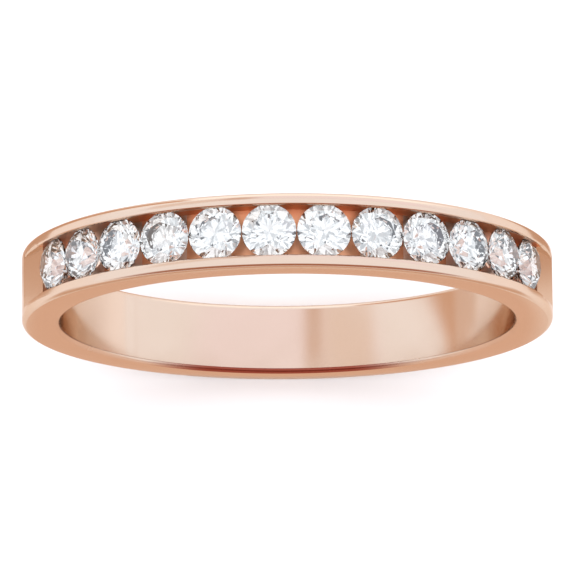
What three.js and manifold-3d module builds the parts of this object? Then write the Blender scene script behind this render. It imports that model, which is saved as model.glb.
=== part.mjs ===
// Channel-set wedding band: a plain rose gold band with twelve round brilliant diamonds along its top.
// Millimetres. The finger hole runs along Y, the row of stones is centred on +Z, and the origin is the
// middle of the finger hole.
import * as THREE from "three";
import { ConvexGeometry } from "three/addons/geometries/ConvexGeometry.js";
import { mergeVertices } from "three/addons/utils/BufferGeometryUtils.js";
import Module from "manifold-3d";

const wasm = await Module();
wasm.setup();

const DEGREE = Math.PI / 180;
const FULL_TURN = 2 * Math.PI;

// The band: a straight-sided hoop, softened inside for comfort and eased outside.
const BORE_RADIUS = 8.65;
const WALL_THICKNESS = 1.44;
const OUTER_RADIUS = BORE_RADIUS + WALL_THICKNESS;
const BAND_WIDTH = 2.75;
const INNER_EDGE_ROUND = 0.18;
const OUTER_EDGE_ROUND = 0.2;
const HOOP_SEGMENTS = 120;
const EDGE_STEPS = 3;

// The stones: round brilliants, all cut to the same proportions of their diameter.
const STONE_COUNT = 12;
const STONE_DIAMETER = 1.98;
const STONE_GAP = 0.02;
const TABLE_SHARE = 0.56;
const CROWN_ANGLE = 34.5 * DEGREE;
const PAVILION_ANGLE = 40.8 * DEGREE;
const GIRDLE_SHARE = 0.035;
const STAR_LENGTH_SHARE = 0.5;
const LOWER_HALF_SHARE = 0.77;
const MAIN_FACETS = 8;
const GIRDLE_SIDES = 32;

// The channel the stones sit in.
const LIP_OVERLAP = 0.055;
const CHANNEL_WIDTH = STONE_DIAMETER - 2 * LIP_OVERLAP;
const TABLE_ABOVE_RAIL = 0.05;
const CHANNEL_FLOOR_THICKNESS = 0.56;
const CHANNEL_DEPTH = WALL_THICKNESS - CHANNEL_FLOOR_THICKNESS;
const CHANNEL_END_MARGIN = 0.06;
const RUN_OUT_DEPTH = 0.26;
const RUN_OUT_SWEEP = 12 * DEGREE;
const SEAT_CLEARANCE = 0.02;
const LIGHT_HOLE_DIAMETER = 0.84;
const LIGHT_HOLE_SIDES = 20;

// Heights in a stone's own frame: its axis is Y, and the top of its girdle is at zero.
const STONE_RADIUS = STONE_DIAMETER / 2;
const TABLE_RADIUS = TABLE_SHARE * STONE_RADIUS;
const CROWN_HEIGHT = (STONE_RADIUS - TABLE_RADIUS) * Math.tan(CROWN_ANGLE);
const GIRDLE_HEIGHT = GIRDLE_SHARE * STONE_DIAMETER;
const PAVILION_DEPTH = STONE_RADIUS * Math.tan(PAVILION_ANGLE);

// Each stone's girdle rides at the radius that brings its table just above the rails, and the angle
// between neighbours leaves the chosen gap where their girdles come closest.
const GIRDLE_RADIUS = OUTER_RADIUS + TABLE_ABOVE_RAIL - CROWN_HEIGHT;
const STONE_PITCH =
  2 * Math.atan((STONE_RADIUS + STONE_GAP / 2) / (GIRDLE_RADIUS - GIRDLE_HEIGHT));

// A closed geometry as a manifold-3d solid.
function solidOf(geometry) {
  const bare = geometry.clone();
  bare.deleteAttribute("normal");
  bare.deleteAttribute("uv");
  const merged = mergeVertices(bare, 1e-4);
  const mesh = new wasm.Mesh({
    numProp: 3,
    vertProperties: merged.attributes.position.array,
    triVerts: new Uint32Array(merged.index.array),
  });
  return new wasm.Manifold(mesh);
}

// A manifold-3d solid as a flat-shaded three.js geometry.
function geometryOf(solid) {
  const mesh = solid.getMesh();
  const indexed = new THREE.BufferGeometry();
  indexed.setAttribute("position", new THREE.BufferAttribute(mesh.vertProperties, 3));
  indexed.setIndex(new THREE.BufferAttribute(mesh.triVerts, 1));
  const flat = indexed.toNonIndexed();
  flat.computeVertexNormals();
  return flat;
}

// A point on a circle about the stone's axis.
function around(radius, turns, height) {
  const angle = turns * FULL_TURN;
  return new THREE.Vector3(radius * Math.cos(angle), height, radius * Math.sin(angle));
}

// Where the vertical line through a girdle point meets the plane of the half facet that ends there:
// the plane through an inner corner and the two girdle corners on either side of it.
function halfFacetHeight(corner, girdleA, girdleB, point) {
  const plane = new THREE.Plane().setFromCoplanarPoints(corner, girdleA, girdleB);
  const across = plane.normal.x * point.x + plane.normal.z * point.z;
  return -(plane.constant + across) / plane.normal.y;
}

// A round brilliant: table, eight stars, eight bezels and sixteen upper halves above a scalloped
// girdle, sixteen lower halves and eight pavilion mains below it, meeting at a point.
function brilliantGeometry() {
  const tableApothem = TABLE_RADIUS * Math.cos(Math.PI / MAIN_FACETS);
  const starRadius = tableApothem + STAR_LENGTH_SHARE * (STONE_RADIUS - tableApothem);
  const starDrop =
    (starRadius * Math.cos(Math.PI / MAIN_FACETS) - TABLE_RADIUS) * Math.tan(CROWN_ANGLE);
  const lowerRadius = (1 - LOWER_HALF_SHARE) * STONE_RADIUS;
  const lowerReach = lowerRadius * Math.cos(Math.PI / MAIN_FACETS);
  const lowerHeight = -GIRDLE_HEIGHT - (STONE_RADIUS - lowerReach) * Math.tan(PAVILION_ANGLE);
  const points = [around(0, 0, -GIRDLE_HEIGHT - PAVILION_DEPTH)];
  for (let k = 0; k < MAIN_FACETS; k++) {
    const main = k / MAIN_FACETS;
    const between = (k + 0.5) / MAIN_FACETS;
    points.push(around(TABLE_RADIUS, main, CROWN_HEIGHT));
    points.push(around(starRadius, between, CROWN_HEIGHT - starDrop));
    points.push(around(lowerRadius, between, lowerHeight));
  }
  const halves = 2 * MAIN_FACETS;
  const stepsPerHalf = GIRDLE_SIDES / halves;
  for (let side = 0; side < GIRDLE_SIDES; side++) {
    const half = Math.floor(side / stepsPerHalf);
    const between = (Math.floor(half / 2) + 0.5) / MAIN_FACETS;
    const upper = [half, half + 1].map((n) => around(STONE_RADIUS, n / halves, 0));
    const lower = [half, half + 1].map((n) => around(STONE_RADIUS, n / halves, -GIRDLE_HEIGHT));
    const star = around(starRadius, between, CROWN_HEIGHT - starDrop);
    const deep = around(lowerRadius, between, lowerHeight);
    const rim = around(STONE_RADIUS, side / GIRDLE_SIDES, 0);
    const top = halfFacetHeight(star, upper[0], upper[1], rim);
    const bottom = halfFacetHeight(deep, lower[0], lower[1], rim);
    points.push(new THREE.Vector3(rim.x, top, rim.z));
    points.push(new THREE.Vector3(rim.x, bottom, rim.z));
  }
  return new ConvexGeometry(points);
}

// The angle of a stone from +Z towards +X.
function stoneAngle(index) {
  return (index - (STONE_COUNT - 1) / 2) * STONE_PITCH;
}

// Places something built about the origin, with its axis along Y, at a stone's seat on the hoop.
function seatMatrix(index) {
  const angle = stoneAngle(index);
  const outward = new THREE.Vector3(Math.sin(angle), 0, Math.cos(angle));
  const finger = new THREE.Vector3(0, 1, 0);
  const along = new THREE.Vector3().crossVectors(outward, finger);
  const matrix = new THREE.Matrix4().makeBasis(finger, outward, along.negate());
  return matrix.setPosition(outward.multiplyScalar(GIRDLE_RADIUS));
}

// One corner of the hoop's section as a quarter of a circle, from one angle to the next.
function cornerPoints(centreRadius, centreY, round, startAngle) {
  const corner = [];
  for (let step = 0; step <= EDGE_STEPS; step++) {
    const angle = startAngle + ((step / EDGE_STEPS) * Math.PI) / 2;
    const radius = centreRadius + round * Math.cos(angle);
    corner.push(new THREE.Vector2(radius, centreY + round * Math.sin(angle)));
  }
  return corner;
}

// The hoop before anything is cut from it.
function hoopSolid() {
  const inner = BORE_RADIUS + INNER_EDGE_ROUND;
  const outer = OUTER_RADIUS - OUTER_EDGE_ROUND;
  const innerY = BAND_WIDTH / 2 - INNER_EDGE_ROUND;
  const outerY = BAND_WIDTH / 2 - OUTER_EDGE_ROUND;
  const section = [
    ...cornerPoints(inner, -innerY, INNER_EDGE_ROUND, Math.PI),
    ...cornerPoints(outer, -outerY, OUTER_EDGE_ROUND, 1.5 * Math.PI),
    ...cornerPoints(outer, outerY, OUTER_EDGE_ROUND, 0),
    ...cornerPoints(inner, innerY, INNER_EDGE_ROUND, 0.5 * Math.PI),
  ];
  section.push(section[0].clone());
  return solidOf(new THREE.LatheGeometry(section, HOOP_SEGMENTS));
}

// The channel: a sector of a ring, as wide as the opening between the rails. Past the last stone at
// each end it steps up and runs out in a shallow ramp to the hoop's outer surface.
function channelSolid() {
  const floorRadius = OUTER_RADIUS - CHANNEL_DEPTH;
  const clearRadius = OUTER_RADIUS + WALL_THICKNESS;
  const endReach = Math.asin((STONE_RADIUS + CHANNEL_END_MARGIN) / GIRDLE_RADIUS);
  const halfSweep = stoneAngle(STONE_COUNT - 1) + endReach;
  const start = Math.PI / 2 - halfSweep;
  const end = Math.PI / 2 + halfSweep;
  const outline = new THREE.Shape();
  const lineTo = (radius, angle) => outline.lineTo(radius * Math.cos(angle), radius * Math.sin(angle));
  outline.absarc(0, 0, clearRadius, start - RUN_OUT_SWEEP, end + RUN_OUT_SWEEP, false);
  lineTo(OUTER_RADIUS, end + RUN_OUT_SWEEP);
  lineTo(OUTER_RADIUS - RUN_OUT_DEPTH, end);
  outline.absarc(0, 0, floorRadius, end, start, true);
  lineTo(OUTER_RADIUS - RUN_OUT_DEPTH, start);
  lineTo(OUTER_RADIUS, start - RUN_OUT_SWEEP);
  const sector = new THREE.ExtrudeGeometry(outline, {
    depth: CHANNEL_WIDTH,
    bevelEnabled: false,
    curveSegments: HOOP_SEGMENTS / 2,
  });
  sector.translate(0, 0, -CHANNEL_WIDTH / 2);
  sector.rotateX(Math.PI / 2);
  return solidOf(sector);
}

// What one stone's seat takes out of the band: the stone with its clearance, and the round hole that
// lets light in from the finger side.
function seatSolids(index, stoneGeometry) {
  const grown = (STONE_RADIUS + SEAT_CLEARANCE) / STONE_RADIUS;
  const seat = stoneGeometry.clone();
  seat.translate(0, GIRDLE_HEIGHT / 2, 0);
  seat.scale(grown, grown, grown);
  seat.translate(0, -GIRDLE_HEIGHT / 2, 0);
  seat.applyMatrix4(seatMatrix(index));
  const holeRadius = LIGHT_HOLE_DIAMETER / 2;
  const holeLength = 2 * WALL_THICKNESS;
  const holeTop = OUTER_RADIUS - CHANNEL_DEPTH / 2 - GIRDLE_RADIUS;
  const hole = new THREE.CylinderGeometry(holeRadius, holeRadius, holeLength, LIGHT_HOLE_SIDES);
  hole.translate(0, holeTop - holeLength / 2, 0);
  hole.applyMatrix4(seatMatrix(index));
  return [solidOf(seat), solidOf(hole)];
}

function bandGeometry(stoneGeometry) {
  let band = hoopSolid().subtract(channelSolid());
  for (let index = 0; index < STONE_COUNT; index++) {
    for (const cutter of seatSolids(index, stoneGeometry)) {
      band = band.subtract(cutter);
    }
  }
  return geometryOf(band);
}

const part = new THREE.Group();
part.name = "wedding_band";

const stoneGeometry = brilliantGeometry();

const band = new THREE.Mesh(
  bandGeometry(stoneGeometry),
  new THREE.MeshStandardMaterial({ color: 0xe2b79c, roughness: 0.12, metalness: 1 }),
);
band.name = "band";
part.add(band);

for (let index = 0; index < STONE_COUNT; index++) {
  const stone = new THREE.Mesh(
    stoneGeometry.clone(),
    new THREE.MeshStandardMaterial({ color: 0xf4f6f8, roughness: 0.02, metalness: 0 }),
  );
  stone.name = "stone_" + String(index + 1).padStart(2, "0");
  stone.applyMatrix4(seatMatrix(index));
  part.add(stone);
}

export default part;
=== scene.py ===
import math

import bmesh
import bpy
from mathutils import Matrix, Vector


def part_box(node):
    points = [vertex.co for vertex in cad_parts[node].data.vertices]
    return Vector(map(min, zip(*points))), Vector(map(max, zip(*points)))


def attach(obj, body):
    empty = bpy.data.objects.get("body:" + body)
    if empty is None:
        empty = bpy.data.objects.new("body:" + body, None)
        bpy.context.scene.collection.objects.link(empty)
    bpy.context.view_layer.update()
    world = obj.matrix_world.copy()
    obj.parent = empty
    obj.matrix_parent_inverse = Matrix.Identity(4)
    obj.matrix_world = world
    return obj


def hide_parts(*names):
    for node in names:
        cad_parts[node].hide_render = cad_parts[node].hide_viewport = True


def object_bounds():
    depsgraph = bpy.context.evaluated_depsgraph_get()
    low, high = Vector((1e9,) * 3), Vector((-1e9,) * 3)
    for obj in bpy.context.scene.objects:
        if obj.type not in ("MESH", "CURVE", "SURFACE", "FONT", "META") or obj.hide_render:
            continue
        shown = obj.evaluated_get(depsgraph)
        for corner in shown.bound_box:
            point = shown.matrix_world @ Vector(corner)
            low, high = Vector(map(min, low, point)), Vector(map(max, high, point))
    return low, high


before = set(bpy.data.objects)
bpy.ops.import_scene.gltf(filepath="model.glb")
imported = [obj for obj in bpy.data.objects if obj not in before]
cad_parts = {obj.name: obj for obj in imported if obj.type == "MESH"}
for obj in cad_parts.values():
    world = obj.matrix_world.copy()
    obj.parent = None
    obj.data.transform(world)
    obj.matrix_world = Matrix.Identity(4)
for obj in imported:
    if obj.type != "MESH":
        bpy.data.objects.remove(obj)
cad_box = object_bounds()

# The band is modelled in millimetres, then brought to metres when it is finished.
METRES = 0.001
band_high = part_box("band")[1]
OUTER_RADIUS = band_high.x / METRES
HALF_WIDTH = band_high.y / METRES
WALL = 1.44
BORE_RADIUS = OUTER_RADIUS - WALL
BORE_EDGE_ROUND = 0.18
BORE_EDGE_SEGMENTS = 6
OUTER_EDGE_ROUND = 0.2
OUTER_EDGE_SEGMENTS = 5
HOOP_STEPS = 240
CHANNEL_STEPS = 119

STONES = sorted(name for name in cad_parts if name.startswith("stone_"))
STONE_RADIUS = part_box(STONES[0])[1].y / METRES
CROWN_ANGLE = math.radians(34.5)
PAVILION_ANGLE = math.radians(40.8)
TABLE_SHARE = 0.56
GIRDLE_SHARE = 0.035
GIRDLE_HEIGHT = GIRDLE_SHARE * 2 * STONE_RADIUS
CROWN_HEIGHT = (1 - TABLE_SHARE) * STONE_RADIUS * math.tan(CROWN_ANGLE)
STONE_GAP = 0.02
TABLE_ABOVE_RAIL = 0.05
GIRDLE_RADIUS = OUTER_RADIUS + TABLE_ABOVE_RAIL - CROWN_HEIGHT
PITCH = 2 * math.atan((STONE_RADIUS + STONE_GAP / 2) / (GIRDLE_RADIUS - GIRDLE_HEIGHT))

LIP_OVERLAP = 0.055
CHANNEL_HALF_WIDTH = STONE_RADIUS - LIP_OVERLAP
CHANNEL_FLOOR_THICKNESS = 0.56
CHANNEL_FLOOR_RADIUS = BORE_RADIUS + CHANNEL_FLOOR_THICKNESS
CHANNEL_END_MARGIN = 0.06
RUN_OUT_DEPTH = 0.26
RUN_OUT_SWEEP = math.radians(12)
LIP_ROUND = 0.08
RUN_OUT_ROUND = 0.16
SEAT_CLEARANCE = 0.02
SEAT_SIDES = 48
SEAT_POINT_SHARE = 0.2
LIGHT_HOLE_RADIUS = 0.42
LIGHT_HOLE_SIDES = 40
# How far to each side of its middle, along the hoop, a stone hides the channel's floor.
HIDDEN_REACH = 0.55

# Cutters run past the surfaces that they cut, and pieces of the channel overlap a little.
CUTTER_REACH = 1
CUTTER_RADIUS = OUTER_RADIUS + CUTTER_REACH
LIGHT_HOLE_ABOVE_FLOOR = 0.3
RUN_OUT_OVERLAP = math.radians(0.5)

# How near counts as the same place, the same flat face or the same smooth surface.
MERGE_DISTANCE = 0.0005
EDGE_TOLERANCE = 0.002
LIP_HEIGHT_TOLERANCE = 0.004
COPLANAR_ANGLE = math.radians(0.3)
SMOOTH_ANGLE = math.radians(28)
FACING_SHARE = 0.9

# Room round the channel, so that its seats and end walls count as part of it but its lips don't.
SEAT_MARGIN = 0.06
BELOW_LIP_MARGIN = 0.005
OFF_BORE_MARGIN = 0.02
END_WALL_ANGLE = 0.01

# Stretches of a lip: where each starts and ends, as shares of a run-out past the channel's end, and how
# rounded it is, as a share of RUN_OUT_ROUND. The first is the whole lip beside the stones.
LIP_STRETCHES = (
    (-math.inf, 0.0, LIP_ROUND / RUN_OUT_ROUND),
    (0.0, 0.25, 1.0),
    (0.25, 0.45, 0.75),
    (0.45, 0.65, 0.5),
    (0.65, 0.85, 0.25),
)
LIP_SEGMENTS = 3

ROW_HALF_SWEEP = (len(STONES) - 1) / 2 * PITCH
CHANNEL_HALF_SWEEP = ROW_HALF_SWEEP + math.asin((STONE_RADIUS + CHANNEL_END_MARGIN) / GIRDLE_RADIUS)


def deselect_all():
    """Leaves nothing selected and no active object."""
    bpy.ops.object.select_all(action="DESELECT")
    bpy.context.view_layer.objects.active = None


def make_active(piece):
    """Selects one piece alone, ready for an operator."""
    deselect_all()
    piece.select_set(True)
    bpy.context.view_layer.objects.active = piece


def select_edges(piece, wanted):
    """In edit mode, selects the edges whose two ends make wanted(first, second) true."""
    bpy.ops.mesh.select_all(action="DESELECT")
    mesh = bmesh.from_edit_mesh(piece.data)
    for edge in mesh.edges:
        if wanted(edge.verts[0].co, edge.verts[1].co):
            edge.select_set(True)
    bmesh.update_edit_mesh(piece.data)


def hoop_angle(point):
    """The angle of a point round the finger hole, from +Z towards +X."""
    return math.atan2(point.x, point.z)


def hoop_radius(point):
    """The distance of a point from the finger hole's axis."""
    return math.hypot(point.x, point.z)


def spin_round_finger(steps, sweep):
    """Spins the selected section about the finger hole's axis."""
    bpy.ops.mesh.spin(steps=steps, angle=sweep, center=(0, 0, 0), axis=(0, 1, 0))


def section_plane(name, low_radius, high_radius, half_width, angle):
    """A flat section of the hoop at one angle, between two radii, in edit mode and selected."""
    deselect_all()
    middle = (low_radius + high_radius) / 2
    place = (middle * math.sin(angle), 0, middle * math.cos(angle))
    bpy.ops.mesh.primitive_plane_add(size=1, location=place, rotation=(0, angle - math.pi / 2, 0))
    piece = bpy.context.object
    piece.name = name
    piece.scale = (high_radius - low_radius, 2 * half_width, 1)
    bpy.ops.object.transform_apply(location=True, rotation=True, scale=True)
    bpy.ops.object.mode_set(mode="EDIT")
    bpy.ops.mesh.select_all(action="SELECT")
    return piece


def bevel_corners(piece, inner, radius, segments):
    """Rounds the section's two corners on the finger side, or its two on the outside."""
    bpy.ops.mesh.select_mode(type="VERT")
    bpy.ops.mesh.select_all(action="DESELECT")
    mesh = bmesh.from_edit_mesh(piece.data)
    middle = (BORE_RADIUS + OUTER_RADIUS) / 2
    for corner in mesh.verts:
        corner.select_set((corner.co.x < middle) == inner)
    bmesh.update_edit_mesh(piece.data)
    bpy.ops.mesh.bevel(offset=radius, segments=segments, profile=0.5, affect="VERTICES")


def close_and_leave_edit():
    """Merges the seam of a spun piece, turns its faces outwards and leaves edit mode."""
    bpy.ops.mesh.select_all(action="SELECT")
    bpy.ops.mesh.remove_doubles(threshold=MERGE_DISTANCE)
    bpy.ops.mesh.normals_make_consistent(inside=False)
    bpy.ops.object.mode_set(mode="OBJECT")


def cut(piece, cutter):
    """Cuts one closed piece out of another and removes the cutter."""
    make_active(piece)
    boolean = piece.modifiers.new("cut", "BOOLEAN")
    boolean.operation = "DIFFERENCE"
    boolean.solver = "EXACT"
    boolean.object = cutter
    bpy.ops.object.modifier_apply(modifier=boolean.name)
    bpy.data.objects.remove(cutter)


def joined(pieces):
    """Several cutters that don't touch, as one."""
    deselect_all()
    for piece in pieces:
        piece.select_set(True)
    bpy.context.view_layer.objects.active = pieces[0]
    bpy.ops.object.transform_apply(location=True, rotation=True, scale=True)
    bpy.ops.object.join()
    return bpy.context.object


def hoop():
    """The plain hoop: a rectangle with rounded corners spun round the finger hole."""
    piece = section_plane("rose_gold_band", BORE_RADIUS, OUTER_RADIUS, HALF_WIDTH, math.pi / 2)
    bevel_corners(piece, True, BORE_EDGE_ROUND, BORE_EDGE_SEGMENTS)
    bevel_corners(piece, False, OUTER_EDGE_ROUND, OUTER_EDGE_SEGMENTS)
    bpy.ops.mesh.select_mode(type="EDGE")
    bpy.ops.mesh.select_all(action="SELECT")
    bpy.ops.mesh.delete(type="ONLY_FACE")
    bpy.ops.mesh.select_all(action="SELECT")
    spin_round_finger(HOOP_STEPS, 2 * math.pi)
    close_and_leave_edit()
    return piece


def channel_cutter():
    """The swept box that the channel takes away, from one end wall to the other."""
    piece = section_plane(
        "channel_cutter", CHANNEL_FLOOR_RADIUS, CUTTER_RADIUS, CHANNEL_HALF_WIDTH, CHANNEL_HALF_SWEEP
    )
    spin_round_finger(CHANNEL_STEPS, 2 * CHANNEL_HALF_SWEEP)
    close_and_leave_edit()
    # Each side of the cutter becomes one flat face, so that it leaves no spare corners along the lips.
    bpy.ops.object.mode_set(mode="EDIT")
    bpy.ops.mesh.select_all(action="SELECT")
    bpy.ops.mesh.dissolve_limited(angle_limit=COPLANAR_ANGLE)
    bpy.ops.object.mode_set(mode="OBJECT")
    return piece


def run_out_cutter(side):
    """The wedge past one end of the channel, down to nothing where the ramp meets the outside."""
    piece = section_plane(
        "run_out_cutter",
        OUTER_RADIUS - RUN_OUT_DEPTH,
        CUTTER_RADIUS,
        CHANNEL_HALF_WIDTH,
        side * (CHANNEL_HALF_SWEEP - RUN_OUT_OVERLAP),
    )
    spin_round_finger(1, -side * (RUN_OUT_SWEEP + RUN_OUT_OVERLAP))
    mesh = bmesh.from_edit_mesh(piece.data)
    for corner in mesh.verts:
        far_end = abs(hoop_angle(corner.co)) > CHANNEL_HALF_SWEEP
        if far_end and hoop_radius(corner.co) < OUTER_RADIUS:
            rise = OUTER_RADIUS / hoop_radius(corner.co)
            corner.co = Vector((corner.co.x * rise, corner.co.y, corner.co.z * rise))
    bmesh.update_edit_mesh(piece.data)
    close_and_leave_edit()
    return piece


def stone_angle(index):
    """The angle of a stone round the hoop, from +Z towards +X."""
    return (index - (len(STONES) - 1) / 2) * PITCH


def seat_cutter(index):
    """One stone's seat: a girdle groove with the crown's cone above it and the pavilion's below."""
    radius = STONE_RADIUS + SEAT_CLEARANCE
    deselect_all()
    bpy.ops.mesh.primitive_cylinder_add(
        vertices=SEAT_SIDES, radius=radius, depth=GIRDLE_HEIGHT, location=(0, 0, -GIRDLE_HEIGHT / 2)
    )
    piece = bpy.context.object
    bpy.ops.object.transform_apply(location=True, rotation=True, scale=True)
    bpy.ops.object.mode_set(mode="EDIT")
    bpy.ops.mesh.select_mode(type="FACE")
    cones = ((1, CROWN_ANGLE, TABLE_SHARE), (-1, PAVILION_ANGLE, SEAT_POINT_SHARE))
    for upwards, slope, share in cones:
        bpy.ops.mesh.select_all(action="DESELECT")
        mesh = bmesh.from_edit_mesh(piece.data)
        for face in mesh.faces:
            face.select_set(face.normal.z * upwards > FACING_SHARE)
        bmesh.update_edit_mesh(piece.data)
        rise = (1 - share) * radius * math.tan(slope)
        bpy.ops.mesh.extrude_region_move(TRANSFORM_OT_translate={"value": (0, 0, upwards * rise)})
        bpy.ops.transform.resize(value=(share, share, 1))
    bpy.ops.object.mode_set(mode="OBJECT")
    return set_at_stone(piece, index)


def light_hole_cutter(index):
    """The round hole under one stone, through the channel's floor to the finger side."""
    top = CHANNEL_FLOOR_RADIUS + LIGHT_HOLE_ABOVE_FLOOR - GIRDLE_RADIUS
    depth = top + GIRDLE_RADIUS - BORE_RADIUS + CUTTER_REACH
    deselect_all()
    bpy.ops.mesh.primitive_cylinder_add(
        vertices=LIGHT_HOLE_SIDES,
        radius=LIGHT_HOLE_RADIUS,
        depth=depth,
        location=(0, 0, top - depth / 2),
    )
    bpy.ops.object.transform_apply(location=True, rotation=True, scale=True)
    return set_at_stone(bpy.context.object, index)


def set_at_stone(piece, index):
    """Turns and moves a cutter made about the origin to a stone's place on the hoop."""
    angle = stone_angle(index)
    piece.rotation_euler = (0, angle, 0)
    piece.location = (GIRDLE_RADIUS * math.sin(angle), 0, GIRDLE_RADIUS * math.cos(angle))
    return piece


def round_the_lips(piece):
    """Softens the rails' edges: a little along the channel, most where a run-out starts, then fading."""
    make_active(piece)
    bpy.ops.object.mode_set(mode="EDIT")
    bpy.ops.mesh.select_mode(type="EDGE")
    for start, end, weight in LIP_STRETCHES:
        low = CHANNEL_HALF_SWEEP + start * RUN_OUT_SWEEP
        high = CHANNEL_HALF_SWEEP + end * RUN_OUT_SWEEP

        def on_lip(a, b):
            middle = (a + b) / 2
            beside = abs(abs(a.y) - CHANNEL_HALF_WIDTH) < EDGE_TOLERANCE
            along = abs(a.y - b.y) < EDGE_TOLERANCE
            outside = min(hoop_radius(a), hoop_radius(b)) > OUTER_RADIUS - LIP_HEIGHT_TOLERANCE
            return beside and along and outside and low < abs(hoop_angle(middle)) <= high

        select_edges(piece, on_lip)
        bpy.ops.transform.edge_bevelweight(value=weight)
    bpy.ops.object.mode_set(mode="OBJECT")
    bevel = piece.modifiers.new("lips", "BEVEL")
    bevel.limit_method = "WEIGHT"
    bevel.width = RUN_OUT_ROUND
    bevel.segments = LIP_SEGMENTS
    bevel.use_clamp_overlap = False
    bpy.ops.object.modifier_apply(modifier=bevel.name)


def make_band():
    """The whole casting: hoop, channel, run-outs, seats and light holes, at its real size."""
    piece = hoop()
    cut(piece, channel_cutter())
    for side in (-1, 1):
        cut(piece, run_out_cutter(side))
    round_the_lips(piece)
    for first in (0, 1):
        cut(piece, joined([seat_cutter(i) for i in range(first, len(STONES), 2)]))
    cut(piece, joined([light_hole_cutter(i) for i in range(len(STONES))]))
    make_active(piece)
    piece.scale = (METRES, METRES, METRES)
    bpy.ops.object.transform_apply(location=True, rotation=True, scale=True)
    bpy.ops.object.shade_smooth_by_angle(angle=SMOOTH_ANGLE)
    weighted = piece.modifiers.new("even_shading", "WEIGHTED_NORMAL")
    weighted.keep_sharp = True
    bpy.ops.object.modifier_apply(modifier=weighted.name)
    return piece


def on_bore_edge(point):
    """True on the rounded front edge of the finger hole."""
    at_side = point.y < BORE_EDGE_ROUND - HALF_WIDTH
    return at_side and hoop_radius(point) < BORE_RADIUS + BORE_EDGE_ROUND - EDGE_TOLERANCE


def in_channel(point):
    """True at a point in the channel, its seats or its light holes, below the rounded lips."""
    beside = abs(point.y) < CHANNEL_HALF_WIDTH + SEAT_CLEARANCE + SEAT_MARGIN
    below = hoop_radius(point) < OUTER_RADIUS - LIP_ROUND - BELOW_LIP_MARGIN
    off_bore = hoop_radius(point) > BORE_RADIUS + OFF_BORE_MARGIN
    along = abs(hoop_angle(point)) < CHANNEL_HALF_SWEEP + END_WALL_ANGLE
    return beside and below and off_bore and along


def under_stone(point):
    """True on the strip of the channel that a stone hides."""
    for index in range(len(STONES)):
        if abs(hoop_angle(point) - stone_angle(index)) * GIRDLE_RADIUS < HIDDEN_REACH:
            return True
    return False


def linear(hex_colour):
    """An sRGB hex colour as linear RGBA."""
    channels = [int(hex_colour[i : i + 2], 16) / 255 for i in (1, 3, 5)]
    lit = [c / 12.92 if c <= 0.04045 else ((c + 0.055) / 1.055) ** 2.4 for c in channels]
    return (*lit, 1.0)


def new_material(name):
    """A material with only its shader and output, and the shader."""
    material = bpy.data.materials.new(name)
    material.use_nodes = True
    return material, material.node_tree.nodes["Principled BSDF"]


def add_node(tree, kind, settings=(), inputs=(), links=()):
    """Adds a node, sets its properties and input values, and links outputs of others to its inputs."""
    node = tree.nodes.new(kind)
    for name, value in dict(settings).items():
        setattr(node, name, value)
    for name, value in dict(inputs).items():
        node.inputs[name].default_value = value
    for name, source in dict(links).items():
        tree.links.new(source, node.inputs[name])
    return node


# The sockets of a colour mix: its two colours, and what comes out.
MIX_FIRST = 6
MIX_SECOND = 7
MIX_RESULT = 2

# The heights, in metres, between which the painted dark shade at the foot of the ring comes in.
FOOT_SHADE_STARTS = -0.0068
FOOT_SHADE_FULL = -0.0083


def rose_gold(name, light, deep, haze_low, haze_high, hairline_strength, foot_shade=0.0):
    """14 ct rose gold with given tones and haze, from polished to satin, and hairlines from wear.

    Foot shade is how much painted dark red shade, standing in for a dark reflection, darkens the ring
    towards its foot.
    """
    material, shader = new_material(name)
    tree = material.node_tree
    shader.inputs["Metallic"].default_value = 1.0
    shader.inputs["Specular Tint"].default_value = linear(GOLD_EDGE)
    place = add_node(tree, "ShaderNodeTexCoord")
    # Buffing leaves broad, very faint changes of haze, a few millimetres across.
    haze = add_node(
        tree,
        "ShaderNodeTexNoise",
        inputs={"Scale": 400.0, "Detail": 3.0},
        links={"Vector": place.outputs["Object"]},
    )
    roughness = add_node(
        tree,
        "ShaderNodeMapRange",
        inputs={"From Min": 0.3, "From Max": 0.7, "To Min": haze_low, "To Max": haze_high},
        links={"Value": haze.outputs["Fac"]},
    )
    tree.links.new(roughness.outputs["Result"], shader.inputs["Roughness"])
    # The alloy's colour drifts a little where the polish is thinner.
    tint = add_node(
        tree,
        "ShaderNodeMix",
        settings={"data_type": "RGBA"},
        links={"Factor": haze.outputs["Fac"]},
    )
    tint.inputs[MIX_FIRST].default_value = linear(light)
    tint.inputs[MIX_SECOND].default_value = linear(deep)
    parts = add_node(tree, "ShaderNodeSeparateXYZ", links={"Vector": place.outputs["Object"]})
    foot = add_node(
        # Painted shade: a dark red tone that grows towards the foot of the ring, by height.
        tree,
        "ShaderNodeMapRange",
        settings={"interpolation_type": "SMOOTHSTEP"},
        inputs={"From Min": FOOT_SHADE_STARTS, "From Max": FOOT_SHADE_FULL, "To Min": 0.0, "To Max": foot_shade},
        links={"Value": parts.outputs["Z"]},
    )
    foot_shaded = add_node(
        tree,
        "ShaderNodeMix",
        settings={"data_type": "RGBA"},
        links={"Factor": foot.outputs["Result"]},
    )
    tree.links.new(tint.outputs[MIX_RESULT], foot_shaded.inputs[MIX_FIRST])
    foot_shaded.inputs[MIX_SECOND].default_value = linear(PAINTED_FOOT_SHADE)
    tree.links.new(foot_shaded.outputs[MIX_RESULT], shader.inputs["Base Color"])
    # Hairlines from wear, about 0.1 mm apart and far too shallow to feel.
    hairlines = add_node(
        tree,
        "ShaderNodeTexNoise",
        inputs={"Scale": 9000.0, "Detail": 2.0},
        links={"Vector": place.outputs["Object"]},
    )
    bump = add_node(
        tree,
        "ShaderNodeBump",
        inputs={"Strength": hairline_strength, "Distance": 0.000002},
        links={"Height": hairlines.outputs["Fac"]},
    )
    tree.links.new(bump.outputs["Normal"], shader.inputs["Normal"])
    return material


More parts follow.
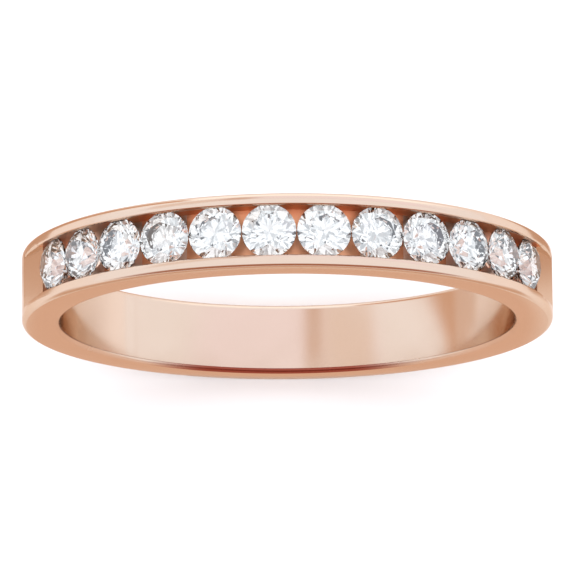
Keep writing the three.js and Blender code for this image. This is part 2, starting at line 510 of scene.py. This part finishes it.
def brilliant_diamond():
    """Colourless diamond, cut and polished: clear, very strongly refracting, with sharp flat facets."""
    material, shader = new_material("brilliant_diamond")
    shader.inputs["Base Color"].default_value = linear("#eef1f3")
    shader.inputs["Roughness"].default_value = 0.0
    shader.inputs["IOR"].default_value = 2.417
    shader.inputs["Transmission Weight"].default_value = 1.0
    return material


# The colours of the metal: buffed; satin in the channel, brightened as painted light against its shade;
# at grazing angles; seats paled as painted light; and painted dark red shade at the foot.
GOLD_LIGHT = "#d8c0ad"
GOLD_DEEP = "#d2baa6"
BRIGHTENED_SATIN_LIGHT = "#f6b58c"
BRIGHTENED_SATIN_DEEP = "#ea9f76"
GOLD_EDGE = "#e9d6c6"
PALED_SEAT_LIGHT = "#f5dac9"
PALED_SEAT_DEEP = "#efceba"
PAINTED_FOOT_SHADE = "#8a260a"

BRIGHTENED_SATIN_SLOT = 1
FOOT_SHADED_SLOT = 2
PALED_SEAT_SLOT = 3

band = make_band()
band.data.materials.clear()
# The outside and the bore are buffed to a mirror; the channel, out of a buff's reach, stays satin, and
# its colour is a brighter orange than the buffed gold's: painted light against the channel's deep shade.
band.data.materials.append(rose_gold("polished_rose_gold", GOLD_LIGHT, GOLD_DEEP, 0.12, 0.18, 0.04))
band.data.materials.append(rose_gold("brightened_satin_rose_gold", BRIGHTENED_SATIN_LIGHT, BRIGHTENED_SATIN_DEEP, 0.38, 0.5, 0.3))
# Painted shade: a dark red-brown band towards the foot of the ring, in place of a dark reflection.
band.data.materials.append(rose_gold("foot_shaded_rose_gold", GOLD_LIGHT, GOLD_DEEP, 0.2, 0.3, 0.1, 0.9))
# The strips of the channel under the stones are painted pale, as painted light against the shade under
# the stones, so they hardly tint the stones.
band.data.materials.append(rose_gold("paled_seat_gold", PALED_SEAT_LIGHT, PALED_SEAT_DEEP, 0.3, 0.45, 0.1))
# Each face takes its finish and painted tone from where its middle is. The channel's side walls are long
# curved faces, and the middle of the longest can fall inside the finger hole, which leaves that stretch
# polished. How the walls are divided varies a little from run to run, and so do their finishes, but not
# the band's shape.
for face in band.data.polygons:
    middle = face.center / METRES
    if in_channel(middle):
        # Seats under the stones take the pale painted light; the rest of the channel takes the brightened
        # satin.
        face.material_index = PALED_SEAT_SLOT if under_stone(middle) else BRIGHTENED_SATIN_SLOT
    elif on_bore_edge(middle):
        # The finger hole's rounded front edge takes the painted dark shade towards the foot.
        face.material_index = FOOT_SHADED_SLOT
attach(band, "root")
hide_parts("band")

diamond = brilliant_diamond()
for name in STONES:
    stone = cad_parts[name]
    stone.data.materials.clear()
    stone.data.materials.append(diamond)

floor_z = cad_box[0].z

# A plain pale floor under the ring.
deselect_all()
bpy.ops.mesh.primitive_plane_add(size=1.2, location=(0, 0, floor_z))
floor = bpy.context.object
floor.name = "studio_floor"
paper, paper_shader = new_material("matt_white_paper")
paper_shader.inputs["Base Color"].default_value = linear("#f4eeea")
paper_shader.inputs["Roughness"].default_value = 0.9
floor.data.materials.append(paper)


def paper_lamp(height, side, radiance):
    """A flat soft lamp overhead that lights the floor and isn't reflected in the ring."""
    lamp = bpy.data.lights.new("paper_lamp", "AREA")
    lamp.shape = "SQUARE"
    lamp.size = side
    lamp.energy = radiance * math.pi * side * side
    light = bpy.data.objects.new("paper_lamp", lamp)
    light.location = (0, 0, height)
    light.visible_camera = False
    light.visible_glossy = False
    light.visible_transmission = False
    bpy.context.scene.collection.objects.link(light)


def glowing_material(name):
    """A material that gives off light and reflects none."""
    material, shader = new_material(name)
    shader.inputs["Base Color"].default_value = linear("#000000")
    shader.inputs["Specular IOR Level"].default_value = 0.0
    return material, shader


def soft_edges(tree, fade_x, fade_y):
    """A mask that is 1 in the middle of a card and fades to 0 over a share of its width and height."""
    place = add_node(tree, "ShaderNodeTexCoord")
    parts = add_node(tree, "ShaderNodeSeparateXYZ", links={"Vector": place.outputs["Object"]})
    masks = []
    for axis, fade in (("X", fade_x), ("Y", fade_y)):
        away = add_node(
            tree,
            "ShaderNodeMath",
            settings={"operation": "ABSOLUTE"},
            links={"Value": parts.outputs[axis]},
        )
        masks.append(
            add_node(
                tree,
                "ShaderNodeMapRange",
                settings={"interpolation_type": "SMOOTHSTEP"},
                inputs={"From Min": 0.5, "From Max": 0.5 - fade},
                links={"Value": away.outputs["Value"]},
            )
        )
    both = add_node(tree, "ShaderNodeMath", {"operation": "MULTIPLY"})
    for socket, mask in enumerate(masks):
        tree.links.new(mask.outputs["Result"], both.inputs[socket])
    return both.outputs["Value"]


def card(name, place, turn, size, colour, strength=1.0, fades=(0.1, 0.1)):
    """A soft-edged card out of the camera's sight, whose reflection draws a tone in the polish."""
    deselect_all()
    bpy.ops.mesh.primitive_plane_add(size=1)
    piece = bpy.context.object
    piece.name = name
    piece.rotation_mode = "ZYX"
    piece.rotation_euler = [math.radians(angle) for angle in turn]
    piece.location = place
    piece.scale = (*size, 1)
    board, board_shader = glowing_material(name + "_board")
    board_shader.inputs["Emission Color"].default_value = linear(colour)
    board_shader.inputs["Emission Strength"].default_value = strength
    tree = board.node_tree
    tree.links.new(soft_edges(tree, *fades), board_shader.inputs["Alpha"])
    piece.data.materials.append(board)
    piece.visible_camera = False
    piece.visible_diffuse = False
    piece.visible_transmission = False
    piece.visible_shadow = False


def stone_tent(radius):
    """A tent that only light leaving the stones meets: white cloth with soft grey panels."""
    deselect_all()
    bpy.ops.mesh.primitive_uv_sphere_add(segments=64, ring_count=32, radius=radius)
    tent = bpy.context.object
    tent.name = "stone_tent"
    bpy.ops.object.shade_smooth()
    cloth, shader = glowing_material("stone_tent_cloth")
    tree = cloth.node_tree
    shader.inputs["Emission Strength"].default_value = 1.5
    place = add_node(tree, "ShaderNodeTexCoord")
    # Panels about 90 mm across on a tent 500 mm in radius.
    panels = add_node(
        tree,
        "ShaderNodeTexVoronoi",
        inputs={"Scale": 11.0},
        links={"Vector": place.outputs["Object"]},
    )
    tone = add_node(tree, "ShaderNodeValToRGB", links={"Fac": panels.outputs["Color"]})
    grey, white = tone.color_ramp.elements
    grey.position = 0.25
    grey.color = linear("#b0b1b2")
    white.position = 0.6
    white.color = linear("#ffffff")
    tree.links.new(tone.outputs["Color"], shader.inputs["Emission Color"])
    tent.data.materials.append(cloth)
    tent.visible_camera = False
    tent.visible_diffuse = False
    tent.visible_glossy = False
    tent.visible_shadow = False


paper_lamp(height=0.35, side=0.5, radiance=0.5)
stone_tent(radius=0.5)

# Turns, in degrees, that bring a flat card from lying down to standing.
FLAT = (0, 0, 0)
FACING_Y = (90, 0, 0)

# Soft edges, as shares of a card's width and height.
WIDE_FADE = (0.3, 0.3)
SIDE_FADE = (0.3, 0.1)

# In front, a tall warm wall and the floor before it darken the front edges of the metal.
card("front_wall_card", (0, -0.060, 0.026), FACING_Y, (0.24, 0.080), "#c08468", 1.0, WIDE_FADE)
far_floor = (0, -0.034, floor_z + 0.0002)
card("front_far_floor_card", far_floor, FLAT, (0.12, 0.052), "#f2d0ba", 1.0, SIDE_FADE)
near_floor = (0, -0.0051, floor_z + 0.0001)
card("front_floor_card", near_floor, FLAT, (0.024, 0.0075), "#ffe4d6", 1.06, (0.1, 0.03))
# Behind, a bright wall lights the edges of the rails that face the stones.
card("back_wall_card", (0, 0.060, 0.030), FACING_Y, (0.24, 0.070), "#f5faff", 1.8, WIDE_FADE)
# Beside the ring, low cards warm the run-outs, and a tall leaning one deepens the finger hole's end.
left_floor = (-0.016, 0.0098, floor_z + 0.0005)
card("left_floor_card", left_floor, FLAT, (0.028, 0.0166), "#fee6d9", 1.0)
left_patch = (-0.0160, 0.0064, -0.004)
card("left_patch_card", left_patch, (0, 5.7, 0), (0.008, 0.0112), "#f0d0bc", 1.0, (0.1, 0.25))
right_patch = (0.0160, 0.0061, -0.004)
card("right_patch_card", right_patch, (0, -5.7, 0), (0.008, 0.0118), "#f0d0bc", 1.0, (0.1, 0.22))
card("left_tall_card", (-0.020, 0.0167, -0.0074), (0, 90, 64), (0.024, 0.060), "#f3cbb0")
# Overhead and a little behind, three cards for the finger hole: a wide cool one, a dimmer warm one at
# its left, and a narrow tan one between them.
card("bore_wide_card", (0, 0.0075, 0.0201), FLAT, (0.080, 0.0066), "#f4f2ff", 1.42, SIDE_FADE)
bore_tone = (-0.0175, 0.0075, 0.0200)
card("bore_tone_card", bore_tone, FLAT, (0.027, 0.0064), "#fff4f0", 1.13, SIDE_FADE)
bore_band = (-0.0065, 0.0075, 0.0199)
card("bore_band_card", bore_band, FLAT, (0.007, 0.0064), "#f9dfd0", 0.98, (0.45, 0.1))

# A bright, even and slightly cool studio all round.
world = bpy.data.worlds.new("studio")
bpy.context.scene.world = world
world.use_nodes = True
backdrop = world.node_tree.nodes["Background"]
backdrop.inputs["Color"].default_value = linear("#f1f6ff")
backdrop.inputs["Strength"].default_value = 1.46

# The camera: a long lens high in front of the ring, turned a little so that the row sits off centre.
ELEVATION = math.radians(77.18)
AZIMUTH = math.radians(0.06)
ROLL = math.radians(-0.52)
ROW_TURN = math.radians(2.12)
DISTANCE = 0.200
LENS_LENGTH = 328.3
SENSOR_WIDTH = 36
RING_ASIDE = Vector((-0.0000288, -0.0000966))

back = Vector(
    (
        math.sin(AZIMUTH) * math.cos(ELEVATION),
        -math.cos(AZIMUTH) * math.cos(ELEVATION),
        math.sin(ELEVATION),
    )
)
level_right = Vector((math.cos(AZIMUTH), math.sin(AZIMUTH), 0))
level_up = back.cross(level_right)
right = level_right * math.cos(ROLL) + level_up * math.sin(ROLL)
up = level_up * math.cos(ROLL) - level_right * math.sin(ROLL)
aside = right * RING_ASIDE.x + up * RING_ASIDE.y
stand = Matrix((right, up, back)).transposed().to_4x4()
stand.translation = back * DISTANCE - aside
lens = bpy.data.cameras.new("camera")
lens.sensor_width = SENSOR_WIDTH
lens.lens = LENS_LENGTH
lens.clip_start = 0.01
lens.clip_end = 5
camera = bpy.data.objects.new("camera", lens)
camera.matrix_world = Matrix.Rotation(-ROW_TURN, 4, "Y") @ stand
bpy.context.scene.collection.objects.link(camera)
bpy.context.scene.camera = camera
bpy.context.scene.view_settings.view_transform = "Standard"
